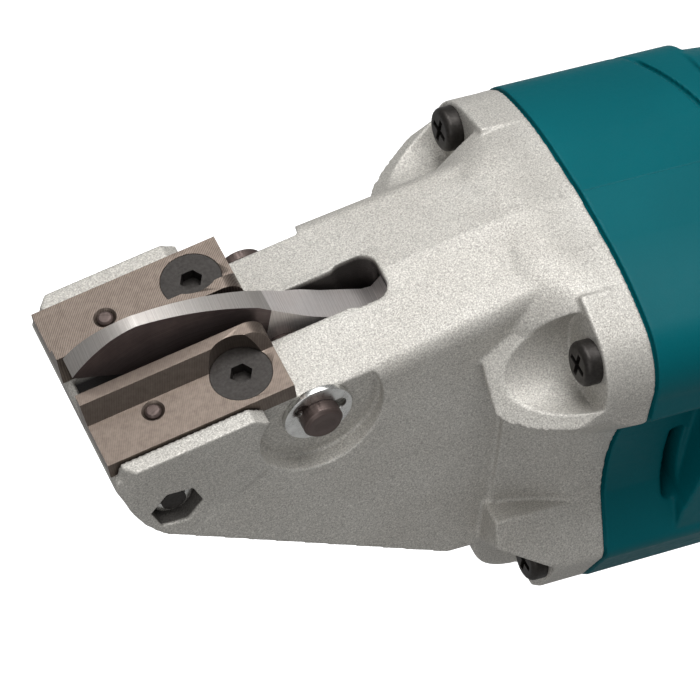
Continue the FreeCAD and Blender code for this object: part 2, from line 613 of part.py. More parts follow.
def armature_core():
    """Laminated rotor with twelve winding slots."""
    core = tube_x(17.6, 5.0, (38, 80))
    slots = []
    for i in range(12):
        slot = box((37, 81), (-1.1, 1.1), (11.5, 18.5))
        slot.rotate(Vector(0, 0, 0), Vector(1, 0, 0), 30 * i)
        slots.append(slot)
    return core.cut(slots)


def end_winding(x, outer, inner):
    ring = tube_x(outer, inner, x)
    return ring.makeFillet(2.2, rims(ring, outer))


def armature_windings():
    return [end_winding((31.5, 38.0), 16.0, 5.0), end_winding((80.0, 86.5), 16.0, 5.0)]


def commutator():
    body = tube_x(11.5, 5.0, (88, 101))
    slots = []
    for i in range(24):
        slot = box((89, 102), (-0.25, 0.25), (10.6, 12.5))
        slot.rotate(Vector(0, 0, 0), Vector(1, 0, 0), 15 * i)
        slots.append(slot)
    return body.cut(slots)


def cooling_fan():
    """Moulded fan: hub, back disc and radial blades."""
    parts = [tube_x(8.0, 5.0, (14.5, 27.0)), tube_x(26.0, 5.0, (25.0, 27.0))]
    for i in range(11):
        vane = box((15.5, 25.5), (-0.7, 0.7), (6.5, 25.8))
        vane.rotate(Vector(0, 0, 7.0), Vector(1, 0, 0), 18)
        vane.rotate(Vector(0, 0, 0), Vector(1, 0, 0), i * 360 / 11)
        parts.append(vane)
    return union(parts).common(rod_x(26.0, (10, 30)))


def field_core():
    """Stator laminations with two poles above and below the rotor."""
    ring = tube_x(29.5, 24.5, (38, 80))
    poles = [ring]
    for sign in (-1, 1):
        poles.append(box((38, 80), (-12.5, 12.5), sorted((sign * 17.0, sign * 26.0))))
    return union(poles).cut(rod_x(18.4, (30, 90)))


def field_coils():
    """One coil around each pole."""
    coils = []
    for sign in (-1, 1):
        z = sorted((sign * 19.4, sign * 22.8))
        loop = box((32.5, 85.5), (-17.5, 17.5), z).cut(box((38, 80), (-12.5, 12.5), (-30, 30)))
        coils.append(loop.cut([rod_x(18.4, (20, 90))]).common(rod_x(24.4, (20, 100))))
    return coils


BAFFLE_X = 32.5              # step inside the motor housing that the fan baffle rests on


def fan_baffle():
    """Ring that steers the air from the motor into the fan."""
    ring = tube_x(34.6, 25.2, (BAFFLE_X, BAFFLE_X + 2.0))
    return union([ring, tube_x(34.6, 32.8, (BAFFLE_X, BAFFLE_X + 5.4))])


def barrel(sections, shrink=0.0, corner=0.62):
    """Solid through rounded-square sections given as X, Z of the middle, half width, half height and,
    where it isn't the usual share, the corner radius as a share of the half width."""
    wires = []
    for x, z, half_width, half_height, *own_corner in sections:
        radius = (own_corner[0] if own_corner else corner) * min(half_width, half_height)
        wires.append(rounded_wire(Vector(x, 0, z), Vector(0, 1, 0), half_width - shrink,
                                  Vector(0, 0, 1), half_height - shrink, radius - shrink))
    return Part.makeLoft(wires, True)


SEAM_GAP = 0.7               # thin shadow gap in front of the motor housing
POCKET_REAR_X = 30.0         # rear wall of the waist's pocket
GROOVE_R = 90.0              # plan radius of the curved groove over the housing
GROOVE_HALF = 0.65


def motor_outer():
    """Outside of the motor housing: lobed front with a waist pocket each side, groove, then a barrel."""
    proud = grown(SEAM_OUTLINE, 0.4)
    recessed = grown(SEAM_OUTLINE, -1.0)
    lip = Part.makeLoft([outline_wire(x, recessed) for x in (SEAM_X, SEAM_X + SEAM_GAP + 1)], True)
    front = Part.makeLoft([outline_wire(x, proud) for x in (SEAM_X + SEAM_GAP, POCKET_REAR_X + 4)], True)
    full = Part.makeLoft([outline_wire(x, proud, True) for x in (POCKET_REAR_X - 2, 52.0)], True)
    wall_arc = rod_y(60.0, (-60, 60), POCKET_REAR_X - 60.0, -3.0)
    waist_band = box((0, POCKET_REAR_X + 1), (-60, 60), (-60, 60))
    full = full.cut(wall_arc.common(waist_band))
    rear = barrel([(51.0, 0, 39.4, 41.7, 0.5), (80.0, 0, 38.2, 39.6, 0.54), (MOTOR_END_X, 0, 37.0, 37.0)])
    outside = union([lip, front, full, rear])
    centre = COLLAR_X - GROOVE_R
    ring = Part.makeCylinder(GROOVE_R + GROOVE_HALF, 20, Vector(centre, 0, 32)).cut(
        Part.makeCylinder(GROOVE_R - GROOVE_HALF, 20, Vector(centre, 0, 32)))
    groove_floor = grown(SEAM_OUTLINE, -0.8)
    inner = Part.makeLoft([outline_wire(x, groove_floor, True) for x in (SEAM_X, 60.0)], True)
    return outside.cut(ring.cut(inner))


BRUSH_X = 94.0
SPIGOT = 33.4                # half size of the motor housing's rear spigot, inside the handle


def motor_housing():
    """Moulded motor housing with vents, screw posts, rotor bearing seat and brush openings."""
    outer = motor_outer()
    spigot = barrel([(MOTOR_END_X - 1, 0, SPIGOT, SPIGOT), (MOTOR_END_X + 9.0, 0, SPIGOT, SPIGOT)])
    hollow = [rod_x(27.0, (SEAM_X - 1, BAFFLE_X)), rod_x(34.6, (BAFFLE_X, 102.0)), rod_x(9.5, (90, 110.0)),
              rod_x(7.0, (90, 130)), rod_x(30.0, (111.5, 140.0))]
    posts = [rod_x(5.5, (BAFFLE_X, 44.0), y, z) for y, z, _ in screw_places()]
    ribs = []
    for i in range(4):
        rib = box((38, 80), (-2, 2), (29.5, 36))
        rib.rotate(Vector(0, 0, 0), Vector(1, 0, 0), 45 + 90 * i)
        ribs.append(rib)
    body = union([outer, spigot]).cut(hollow)
    body = union([body] + posts + ribs)
    cuts = [rod_x(2.5, (0, 36.0), y, z) for y, z, _ in screw_places()]
    cuts.append(rod_y(6.5, (-50, 50), BRUSH_X, 0))
    cuts += vents()
    return body.cut(cuts)


def oval_slot(x, y, z, half_width):
    """Upright slot with round ends that passes through a side wall."""
    low, high = z
    return union([box((x - half_width, x + half_width), y, (low, high)), rod_y(half_width, y, x, low),
                  rod_y(half_width, y, x, high)])


def vents():
    """Air slots: a tall pair in the waist by the fan, and a row on each side near the brushes."""
    slots = []
    for side in ((-50, -20), (20, 50)):
        slots.append(oval_slot(26.9, side, (-16.5, -1.0), 1.7))
        for z in (-24.0, -18.5, 18.5, 24.0):
            slots.append(box((82.0, 100.0), side, (z - 1.2, z + 1.2)))
    return slots


def brush_holders():
    holder = box((BRUSH_X - 5.5, BRUSH_X + 5.5), (-33.8, -12.3), (-4.0, 4.0))
    holder = holder.cut(box((BRUSH_X - 4.0, BRUSH_X + 4.0), (-40, 0), (-2.5, 2.5)))
    return both_sides(holder)


def carbon_brushes():
    brush = box((BRUSH_X - 3.95, BRUSH_X + 3.95), (-25.0, -10.9), (-2.45, 2.45))
    return both_sides(brush.cut(rod_x(11.55, (80, 110))))


def brush_caps():
    cap = rod_y(6.45, (-37.2, -34.0), BRUSH_X, 0)
    cap = cap.cut(box((BRUSH_X - 5, BRUSH_X + 5), (-38, -36.2), (-0.7, 0.7)))
    return both_sides(cap)


# ---- handle -----------------------------------------------------------------------------------------
def grip_point(distance):
    lean = math.radians(GRIP_LEAN)
    return Vector(GRIP_TOP[0] + distance * math.sin(lean), 0, GRIP_TOP[1] - distance * math.cos(lean))


def handle_solid(shrink):
    """Barrel and grip as one solid, made smaller all round by shrink."""
    body = barrel([(MOTOR_END_X, 0, 37.0, 37.0), (132, 0, 36.6, 36.8), (155, -1.5, 33.5, 34.5),
                   (172, -4.0, 26.0, 29.0), (184 - shrink, -6.0, 15.0, 18.0)], shrink)
    lean = math.radians(GRIP_LEAN)
    across = Vector(math.cos(lean), 0, math.sin(lean))
    grip_sections = [(-14, 20.0, 29.0), (14, 18.8, 25.0), (45, 17.8, 23.0), (80, 18.6, 23.0),
                     (106, 19.5, 25.0), (GRIP_LENGTH - shrink, 21.5, 29.0)]
    wires = [rounded_wire(grip_point(d), Vector(0, 1, 0), a - shrink, across, b - shrink, 14.0 - shrink)
             for d, a, b in grip_sections]
    return union([body, Part.makeLoft(wires, True)])


HANDLE_SCREWS = [(127.0, -24.0), (160.0, 18.0), (127.0, 29.0),
                 (176.0, -54.0), (165.5, -92.0), (162.0, -126.0)]


def handle_half(side):
    """Clamshell half: side -1 is the user's left and takes the screw heads."""
    shell = handle_solid(0.0).cut(handle_solid(WALL))
    socket = SPIGOT + 0.1
    shell = shell.cut(barrel([(MOTOR_END_X - 5, 0, socket, socket), (MOTOR_END_X + 9.1, 0, socket, socket)]))
    keep = box((80, 260), sorted((0.0, side * 60.0)), (-200, 80))
    pieces = [shell.common(keep)]
    inside = handle_solid(0.5).common(keep)
    for x, z in HANDLE_SCREWS:
        pieces.append(rod_y(4.2, sorted((0.0, side * 60.0)), x, z).common(inside))
    half = union(pieces)
    cuts = [rod_y(1.6, (-60, 12), x, z) for x, z in HANDLE_SCREWS]
    cuts += [rod_y(3.5, (-60, -11.5), x, z) for x, z in HANDLE_SCREWS]
    cuts += [trigger_window(), switch_room(), rod_y(4.6, (-40, 0), *LOCK)]
    exit_point = grip_point(GRIP_LENGTH)
    lean = math.radians(GRIP_LEAN)
    cuts.append(Part.makeCylinder(6.0, 20, exit_point + Vector(-math.sin(lean), 0, math.cos(lean)) * 10,
                                  Vector(math.sin(lean), 0, -math.cos(lean))))
    return half.cut(cuts)


def handle_screws():
    solids = []
    for x, z in HANDLE_SCREWS:
        head = rod_y(3.4, (-14.0, -11.5), x, z)
        shaft = rod_y(1.6, (-11.5, 12.0), x, z)
        recess = [box((x - 1.9, x + 1.9), (-15, -12.8), (z - 0.45, z + 0.45)),
                  box((x - 0.45, x + 0.45), (-15, -12.8), (z - 1.9, z + 1.9))]
        solids.append(union([head, shaft]).cut(recess))
    return solids


LOCK = (145.0, -45.0)          # X, Z of the lock-on button
TRIGGER_TRAVEL = 6.0
TRIGGER_Z = (-76.0, -38.5)
SWITCH_Z = (-71.5, -37.5)
SWITCH_X = (149.0, 171.0)
PLUNGER_Z = (-60.0, -52.0)


def trigger_window():
    return box((100.0, 148.8), (-9.2, 9.2), (TRIGGER_Z[0] - 0.6, TRIGGER_Z[1] + 0.6))


def switch_room():
    return box((138.0, SWITCH_X[1]), (-10.8, 10.8), SWITCH_Z)


def trigger():
    """Two-finger trigger with a hollowed front face."""
    high, low = TRIGGER_Z[1], TRIGGER_Z[0]
    rear = 142.0
    front_high, hollow, front_low = (119.5, high), (126.5, (high + low) / 2), (126.0, low)
    outline = [line((rear, high), front_high), arc(front_high, hollow, front_low),
               line(front_low, (rear, low)), line((rear, low), (rear, high))]
    return plate_xz(outline, (-8.9, 8.9))


def switch_body():
    low, high = PLUNGER_Z
    room = box((SWITCH_X[0] - 1, SWITCH_X[0] + TRIGGER_TRAVEL + 0.5), (-3.1, 3.1), (low - 0.1, high + 0.1))
    return box(SWITCH_X, (-10.8, 10.8), SWITCH_Z).cut(room)


def switch_plunger():
    return box((142.0, SWITCH_X[0] - 0.1), (-3.0, 3.0), PLUNGER_Z)


def lock_button():
    cap = rod_y(4.5, (-24.0, -15.0), *LOCK)
    stem = rod_y(2.0, (-15.0, -12.5), *LOCK)
    return union([cap, stem])


def cord_guard():
    """Rubber sleeve that leaves the foot of the grip, with bending rings."""
    lean = math.radians(GRIP_LEAN)
    down = Vector(math.sin(lean), 0, -math.cos(lean))
    start = grip_point(GRIP_LENGTH)
    parts = [Part.makeCone(5.9, 5.0, 34.0, start - down * 6, down),
             Part.makeCylinder(7.6, 2.4, start - down * 6, down)]
    for i in range(5):
        parts.append(Part.makeCylinder(6.6 - 0.15 * i, 2.2, start + down * (5 + 4.6 * i), down))
    guard = union(parts)
    return guard.cut(Part.makeCylinder(3.6, 80, start - down * 20, down))


def power_cord():
    lean = math.radians(GRIP_LEAN)
    down = Vector(math.sin(lean), 0, -math.cos(lean))
    return Part.makeCylinder(3.6, 72.0, grip_point(GRIP_LENGTH) - down * 26, down)


def cord_clamp():
    """Bar across the cord above the guard."""
    lean = math.radians(GRIP_LEAN)
    down = Vector(math.sin(lean), 0, -math.cos(lean))
    centre = grip_point(GRIP_LENGTH) - down * 16
    bar = Part.makeBox(18, 4, 7, Vector(-9, -8.0, -3.5))
    bar.rotate(Vector(0, 0, 0), Vector(0, 1, 0), -GRIP_LEAN)
    bar.translate(centre)
    return bar.cut(Part.makeCylinder(3.6, 80, grip_point(GRIP_LENGTH) - down * 50, down))


# ---- saving -----------------------------------------------------------------------------------------
PIECES = {
    "gear_housing": gear_housing,
    "side_blade_left": side_blade,
    "side_blade_right": lambda: mirror_y(side_blade()),
    "side_blade_screws": lambda: both_sides(blade_screw()),
    "side_blade_pins": lambda: both_sides(blade_pin()),
    "centre_blade": centre_blade,
    "pivot_pin": pivot_pin,
    "pivot_ring": pivot_ring,
    "jaw_tie_bolt": tie_bolt,
    "jaw_tie_nut": tie_nut,
    "crank_shaft": crank_shaft,
    "crank_roller": crank_roller,
    "drive_gear": drive_gear,
    "gear_key": gear_key,
    "crank_front_bearing": lambda: ball_bearing(6.0, 12.0, (-12.2, -6.2), 0, CRANK_Z),
    "crank_rear_bearing": lambda: ball_bearing(3.0, 6.5, (5.6, 10.6), 0, CRANK_Z),
    "bearing_plate": bearing_plate,
    "bearing_plate_screws": plate_screws,
    "gear_housing_screws": head_screws,
    "armature_shaft": armature_shaft,
    "armature_core": armature_core,
    "armature_windings": armature_windings,
    "commutator": commutator,
    "cooling_fan": cooling_fan,
    "motor_front_bearing": lambda: ball_bearing(3.5, 9.5, (5.8, 11.8)),
    "motor_rear_bearing": lambda: ball_bearing(3.5, 9.5, (104.0, 110.0)),
    "field_core": field_core,
    "field_coils": field_coils,
    "fan_baffle": fan_baffle,
    "motor_housing": motor_housing,
    "brush_holders": brush_holders,
    "carbon_brushes": carbon_brushes,
    "brush_caps": brush_caps,
    "handle_left": lambda: handle_half(-1),
    "handle_right": lambda: handle_half(1),
    "handle_screws": handle_screws,
    "trigger": trigger,
    "switch_body": switch_body,
    "switch_plunger": switch_plunger,
    "lock_button": lock_button,
    "cord_guard": cord_guard,
    "power_cord": power_cord,
    "cord_clamp": cord_clamp,
}


def save(name, shapes):
    """Writes one node, moved so that the datum becomes the origin."""
    datum_x, datum_z = blade_point(0.0, LIP_HEIGHT)
    solids = []
    for shape in shapes if isinstance(shapes, list) else [shapes]:
        solids += shape.Solids
    node = solids[0] if len(solids) == 1 else Part.makeCompound(solids)
    node = node.copy()
    node.translate(Vector(-datum_x, 0, -datum_z))
    node.exportStep(os.path.join("parts", name + ".step"))
    return node


os.makedirs("parts", exist_ok=True)
for piece_name, make in PIECES.items():
    piece = save(piece_name, make())
    size = piece.BoundBox
    print("%-22s solids %d  valid %s  %6.1f %6.1f %6.1f" % (
        piece_name, len(piece.Solids), piece.isValid(), size.XLength, size.YLength, size.ZLength))
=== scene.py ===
import json
import math

import bmesh
import bpy
import numpy as np
from mathutils import Matrix, Vector


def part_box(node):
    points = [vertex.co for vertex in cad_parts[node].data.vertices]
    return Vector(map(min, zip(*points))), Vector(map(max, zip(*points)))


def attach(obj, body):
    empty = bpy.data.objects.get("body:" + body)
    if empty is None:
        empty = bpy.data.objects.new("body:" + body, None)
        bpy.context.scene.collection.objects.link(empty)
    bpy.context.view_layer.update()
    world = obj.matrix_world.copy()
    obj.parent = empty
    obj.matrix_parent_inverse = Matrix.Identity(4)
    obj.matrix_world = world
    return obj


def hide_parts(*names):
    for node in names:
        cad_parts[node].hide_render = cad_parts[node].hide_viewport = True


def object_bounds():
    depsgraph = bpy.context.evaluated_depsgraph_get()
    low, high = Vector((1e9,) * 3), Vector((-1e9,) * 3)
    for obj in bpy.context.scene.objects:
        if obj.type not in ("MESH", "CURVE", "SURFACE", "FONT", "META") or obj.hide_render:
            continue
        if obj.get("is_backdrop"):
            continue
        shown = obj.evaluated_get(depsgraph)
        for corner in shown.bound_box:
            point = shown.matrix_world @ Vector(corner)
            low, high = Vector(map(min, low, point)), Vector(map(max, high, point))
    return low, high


# Looks of the three-blade fibre-cement shear. Everything is in metres, in the CAD frame:
# the origin is the cutting mouth, +X runs rearwards along the motor axis, +Z is up.

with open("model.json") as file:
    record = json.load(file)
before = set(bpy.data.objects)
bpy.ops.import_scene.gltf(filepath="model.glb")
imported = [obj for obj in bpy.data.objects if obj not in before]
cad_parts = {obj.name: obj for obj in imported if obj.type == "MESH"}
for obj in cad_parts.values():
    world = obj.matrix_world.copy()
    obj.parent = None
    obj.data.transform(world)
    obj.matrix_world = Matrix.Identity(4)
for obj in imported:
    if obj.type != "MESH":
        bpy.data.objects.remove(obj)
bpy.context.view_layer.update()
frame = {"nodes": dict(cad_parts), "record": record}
nodes = frame["nodes"]

BLADE_TILT = math.radians(15.1)    # slope of the side blades against the motor axis
UP_SLOPE = Vector((-math.sin(BLADE_TILT), 0, math.cos(BLADE_TILT)))
ALONG_SLOPE = Vector((math.cos(BLADE_TILT), 0, math.sin(BLADE_TILT)))


def middle(node):
    low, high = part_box(node)
    return (Vector(low) + Vector(high)) / 2


# ---- materials --------------------------------------------------------------------------------------
class Shader:
    """One procedural material under construction."""

    def __init__(self, name):
        self.material = bpy.data.materials.new(name)
        self.material.use_nodes = True
        self.tree = self.material.node_tree
        self.surface = self.tree.nodes["Principled BSDF"]
        self.place = self.add("ShaderNodeTexCoord").outputs["Object"]

    def add(self, kind, **settings):
        """Adds a node. A setting whose name is an input is a value or a link, any other is a property."""
        node = self.tree.nodes.new(kind)
        for key, value in settings.items():
            if hasattr(node, key):
                setattr(node, key, value)
            else:
                self.feed(node.inputs[key.replace("_", " ").title()], value)
        return node

    def feed(self, socket, value):
        if isinstance(value, bpy.types.NodeSocket):
            self.tree.links.new(value, socket)
        else:
            socket.default_value = value

    def set(self, **inputs):
        for key, value in inputs.items():
            self.feed(self.surface.inputs[key.replace("_", " ")], value)

    def noise(self, scale, detail=2.0, rough=0.5, place=None):
        node = self.add("ShaderNodeTexNoise")
        self.feed(node.inputs["Vector"], place or self.place)
        node.inputs["Scale"].default_value = scale
        node.inputs["Detail"].default_value = detail
        node.inputs["Roughness"].default_value = rough
        return node.outputs["Fac"]

    def stretched(self, scale, turn=(0, 0, 0), shift=(0, 0, 0)):
        node = self.add("ShaderNodeMapping")
        self.feed(node.inputs["Vector"], self.place)
        node.inputs["Location"].default_value = shift
        node.inputs["Rotation"].default_value = turn
        node.inputs["Scale"].default_value = scale
        return node.outputs["Vector"]

    def ramp(self, factor, *stops):
        """Colour ramp through (position, colour) stops; a colour is grey when it is one number."""
        node = self.add("ShaderNodeValToRGB")
        self.feed(node.inputs["Fac"], factor)
        bar = node.color_ramp.elements
        while len(bar) < len(stops):
            bar.new(0.5)
        for element, (position, colour) in zip(bar, stops):
            element.position = position
            rgb = (colour,) * 3 if isinstance(colour, (int, float)) else colour
            element.color = (*rgb, 1.0)
        return node.outputs["Color"]

    def mix(self, factor, a, b, blend="MIX"):
        node = self.add("ShaderNodeMix", data_type="RGBA", blend_type=blend)
        self.feed(node.inputs["Factor"], factor)
        for socket, value in ((node.inputs[6], a), (node.inputs[7], b)):
            self.feed(socket, value if isinstance(value, bpy.types.NodeSocket) else (*value, 1.0))
        return node.outputs[2]

    def attribute(self, name):
        """A number stored at the vertices of the mesh; 0 where the mesh has none."""
        return self.add("ShaderNodeAttribute", attribute_name=name).outputs["Fac"]

    def maths(self, operation, a, b=0.0):
        node = self.add("ShaderNodeMath", operation=operation)
        self.feed(node.inputs[0], a)
        self.feed(node.inputs[1], b)
        return node.outputs[0]

    def bump(self, height, depth, strength=1.0, under=None):
        node = self.add("ShaderNodeBump")
        self.feed(node.inputs["Height"], height)
        node.inputs["Distance"].default_value = depth
        node.inputs["Strength"].default_value = strength
        if under is not None:
            self.feed(node.inputs["Normal"], under)
        self.feed(self.surface.inputs["Normal"], node.outputs["Normal"])
        return node.outputs["Normal"]


def cast_aluminium():
    """Bead-blasted die casting: bright and dark grains about 0.3 mm across, with painted shade that darkens
    its slots.
    """
    s = Shader("cast_aluminium")
    grain = s.noise(3200, 2.0, 0.65)
    cloud = s.noise(60, 4.0, 0.6)
    dark, middling, bright = (0.33, 0.315, 0.295), (0.50, 0.485, 0.45), (0.70, 0.68, 0.63)
    speck = s.ramp(grain, (0.30, dark), (0.50, middling), (0.70, bright))
    tone = s.ramp(cloud, (0.3, (0.90, 0.89, 0.88)), (0.7, (1.0, 1.0, 1.0)))
    clean = s.mix(1.0, speck, tone, "MULTIPLY")
    # painted shade: near-black colour where the blade slot and nut pocket lie in shadow
    painted_shade = s.mix(s.attribute("painted_shade"), clean, (0.035, 0.030, 0.028))
    s.set(Base_Color=painted_shade, Metallic=0.35, Roughness=s.ramp(grain, (0.3, 0.62), (0.7, 0.46)))
    soft = s.bump(s.noise(500, 3.0), 0.00007, 0.5)
    s.bump(grain, 0.00008, 0.8, soft)
    return s.material


def steel(name, dark, light, marks, rough=0.42, depth=0.00001, metallic=0.75, blotches=0.35):
    """Bare metal whose tone, gloss and relief follow one pattern of tool marks; blotches is the share
    of a cloudy tone over them."""
    s = Shader(name)
    pattern = marks(s)
    cloud = s.noise(140, 5.0, 0.65)
    tone = s.mix(blotches, pattern, cloud)
    s.set(Base_Color=s.ramp(tone, (0.36, dark), (0.64, light)), Metallic=metallic)
    s.set(Roughness=s.ramp(tone, (0.3, rough + 0.10), (0.7, rough - 0.05)))
    s.bump(pattern, depth, 1.0)
    return s.material


def straight_marks(pitch, direction):
    """Parallel grinding lines along a direction in the blade plane, pitch metres apart."""
    def pattern(s):
        across = UP_SLOPE.cross(Vector(direction)).normalized()
        node = s.add("ShaderNodeVectorMath", operation="DOT_PRODUCT")
        s.feed(node.inputs[0], s.place)
        node.inputs[1].default_value = across
        offset = s.maths("ADD", node.outputs["Value"], s.maths("MULTIPLY", s.noise(90, 2.0), 0.0004))
        line = s.add("ShaderNodeCombineXYZ")
        s.feed(line.inputs["X"], offset)
        return s.noise(1 / pitch, 1.0, 0.5, line.outputs[0])
    return pattern


def arc_marks(pitch, centre):
    """Grinding lines that curve about a far centre."""
    def pattern(s):
        node = s.add("ShaderNodeVectorMath", operation="LENGTH")
        s.feed(node.inputs[0], s.stretched((1, 1, 1), shift=[-c for c in centre]))
        offset = s.maths("ADD", node.outputs["Value"], s.maths("MULTIPLY", s.noise(160, 3.0), 0.0006))
        ring = s.add("ShaderNodeCombineXYZ")
        s.feed(ring.inputs["X"], offset)
        return s.noise(1 / pitch, 3.0, 0.7, ring.outputs[0])
    return pattern


def milled_marks(pitch, centre):
    """Evenly spaced cutter marks that curve about a far centre, with less contrast on the near (-Y) side."""
    def pattern(s):
        node = s.add("ShaderNodeVectorMath", operation="LENGTH")
        s.feed(node.inputs[0], s.stretched((1, 1, 1), shift=[-c for c in centre]))
        offset = s.maths("ADD", node.outputs["Value"], s.maths("MULTIPLY", s.noise(120, 2.0), 0.0003))
        wave = s.maths("SINE", s.maths("MULTIPLY", offset, 2 * math.pi / pitch))
        split = s.add("ShaderNodeSeparateXYZ")
        s.feed(split.inputs[0], s.place)
        side = s.maths("GREATER_THAN", split.outputs["Y"], 0.0)
        share = s.maths("ADD", 0.05, s.maths("MULTIPLY", side, 0.11))
        height = s.maths("ADD", 0.5, s.maths("MULTIPLY", wave, share))
        return s.mix(0.30, height, s.noise(900, 3.0, 0.6))
    return pattern


def side_blade_steel():
    """Milled flats, brown-grey with fine even marks that run slantwise across."""
    lines = milled_marks(0.00042, Vector((0.13, -0.085, 0.03)))
    return steel("side_blade_steel", (0.11, 0.086, 0.071), (0.225, 0.184, 0.155), lines,
                 rough=0.38, depth=0.000007, metallic=0.85, blotches=0.12)


def beak_steel():
    """Beak blade: a pale polished back and shank, and brown hollow-ground flanks."""
    s = Shader("beak_steel")
    fine = straight_marks(0.00022, (0, 1, 0.2))(s)
    long = arc_marks(0.0003, (0.03, 0.02, -0.03))(s)
    cloud = s.noise(170, 5.0, 0.6)
    flank = s.mix(0.5, s.ramp(long, (0.35, (0.105, 0.080, 0.078)), (0.65, (0.22, 0.175, 0.170))),
                  s.ramp(cloud, (0.35, (0.100, 0.075, 0.074)), (0.65, (0.21, 0.165, 0.160))))
    back = s.mix(0.5, s.ramp(fine, (0.3, (0.28, 0.255, 0.235)), (0.7, (0.58, 0.55, 0.52))),
                 s.ramp(cloud, (0.3, (0.36, 0.33, 0.31)), (0.7, (0.54, 0.52, 0.50))))
    shape = s.add("ShaderNodeNewGeometry")
    split = s.add("ShaderNodeSeparateXYZ")
    s.feed(split.inputs[0], shape.outputs["Normal"])
    sideways = s.ramp(s.maths("ABSOLUTE", split.outputs["Y"]), (0.72, 0.0), (0.9, 1.0))
    place = s.add("ShaderNodeSeparateXYZ")
    s.feed(place.inputs[0], s.place)
    on_beak = s.maths("LESS_THAN", place.outputs["X"], 0.0405)
    is_flank = s.maths("MULTIPLY", sideways, on_beak)
    shank = s.mix(1.0, back, (1.7, 1.7, 1.75), "MULTIPLY")
    s.set(Base_Color=s.mix(is_flank, s.mix(on_beak, shank, back), flank), Metallic=0.8)
    s.set(Roughness=s.ramp(cloud, (0.3, 0.46), (0.7, 0.36)))
    s.bump(fine, 0.000009, 1.0)
    return s.material


def black_oxide():
    s = Shader("black_oxide")
    """Blackened steel with a fine, nearly even grain."""
    grain = s.noise(1600, 3.0, 0.55)
    s.set(Base_Color=s.ramp(grain, (0.3, (0.026, 0.023, 0.021)), (0.7, (0.045, 0.041, 0.038))), Metallic=0.7)
    s.set(Roughness=s.ramp(s.noise(500, 3.0), (0.3, 0.40), (0.7, 0.47)))
    s.bump(grain, 0.000012, 0.6)
    return s.material


def zinc_plate():
    s = Shader("zinc_plate")
    cloud = s.noise(500, 4.0, 0.6)
    s.set(Base_Color=s.ramp(cloud, (0.3, (0.60, 0.60, 0.58)), (0.7, (0.86, 0.86, 0.84))), Metallic=1.0)
    s.set(Roughness=s.ramp(cloud, (0.3, 0.22), (0.7, 0.36)))
    s.bump(s.noise(1500, 2.0), 0.000015, 0.5)
    return s.material


def moulded_plastic(name, low, high, rough, depth=0.00002):
    """Satin moulded plastic with a fine spark-eroded texture and slight tone drift."""
    s = Shader(name)
    grain = s.noise(2600, 2.0, 0.6)
    drift = s.noise(18, 2.0)
    fine, broad = s.ramp(grain, (0.3, low), (0.7, high)), s.ramp(drift, (0.3, low), (0.7, high))
    s.set(Base_Color=s.mix(0.8, fine, broad))
    s.set(Roughness=s.ramp(s.noise(700, 3.0), (0.3, rough - 0.05), (0.7, rough + 0.05)))
    s.set(Specular_IOR_Level=0.10)
    s.bump(grain, depth, 0.7)
    return s.material


def copper_winding():
    s = Shader("copper_winding")
    strand = s.add("ShaderNodeTexWave", wave_type="BANDS", bands_direction="DIAGONAL")
    s.feed(strand.inputs["Vector"], s.place)
    strand.inputs["Scale"].default_value = 700
    strand.inputs["Distortion"].default_value = 3.0
    s.set(Base_Color=s.ramp(strand.outputs["Fac"], (0.2, (0.20, 0.05, 0.02)), (0.8, (0.62, 0.24, 0.09))))
    s.set(Metallic=0.9, Roughness=0.35)
    s.bump(strand.outputs["Fac"], 0.0002, 0.8)
    return s.material


def laminations():
    s = Shader("laminations")
    sheets = s.noise(1.0, 1.0, 0.5, s.stretched((2000, 30, 30)))
    s.set(Base_Color=s.ramp(sheets, (0.35, (0.07, 0.07, 0.075)), (0.65, (0.22, 0.22, 0.23))), Metallic=0.8)
    s.set(Roughness=0.5)
    s.bump(sheets, 0.0001, 0.7)
    return s.material


def pressed_carbon():
    s = Shader("pressed_carbon")
    grain = s.noise(1800, 4.0, 0.7)
    s.set(Base_Color=s.ramp(grain, (0.3, (0.01, 0.01, 0.01)), (0.7, (0.05, 0.05, 0.052))), Roughness=0.6)
    s.bump(grain, 0.00005, 0.6)
    return s.material


PALE_STEEL = ((0.32, 0.32, 0.32), (0.62, 0.62, 0.61))
MATERIALS = {
    "cast_aluminium": cast_aluminium(),
    "blade_steel": side_blade_steel(),
    "black_oxide": black_oxide(),
    "bright_zinc": zinc_plate(),
    "ground_steel": steel("ground_steel", *PALE_STEEL, arc_marks(0.0004, (0.05, 0, -0.025)), 0.36),
    "plate_aluminium": steel("plate_aluminium", (0.42, 0.42, 0.41), (0.66, 0.66, 0.65),
                             arc_marks(0.0007, (0.1, 0, -0.02)), 0.4),
    "lamination_steel": laminations(),
    "copper": copper_winding(),
    "teal_plastic": moulded_plastic("teal_plastic", (0.0, 0.080, 0.097), (0.0, 0.118, 0.140), 0.42),
    "black_plastic": moulded_plastic("black_plastic", (0.012, 0.012, 0.013), (0.03, 0.03, 0.032), 0.45),
    "brass": steel("brass", (0.45, 0.30, 0.09), (0.72, 0.53, 0.22), arc_marks(0.0004, (0.18, 0, 0)), 0.36),
    "carbon": pressed_carbon(),
    "black_rubber": moulded_plastic("black_rubber", (0.01, 0.01, 0.01), (0.024, 0.024, 0.024), 0.62, 0.00005),
}
DULL_STEEL = ((0.075, 0.055, 0.050), (0.15, 0.115, 0.105))
OWN_MATERIAL = {
    "centre_blade": beak_steel(),
    "side_blade_pins": steel("dull_steel", *DULL_STEEL, arc_marks(0.0003, (0.01, 0, -0.01)), 0.5),
    "pivot_pin": steel("brown_steel", *DULL_STEEL, arc_marks(0.0004, tuple(middle("pivot_pin"))), 0.42),
}


WELD_REACH = 0.000005
EDGE_BEVEL = 0.00018


def weld(obj):
    """Joins the points that the CAD mesh repeats along its edges."""
    modifier = obj.modifiers.new("weld", "WELD")
    modifier.merge_threshold = WELD_REACH


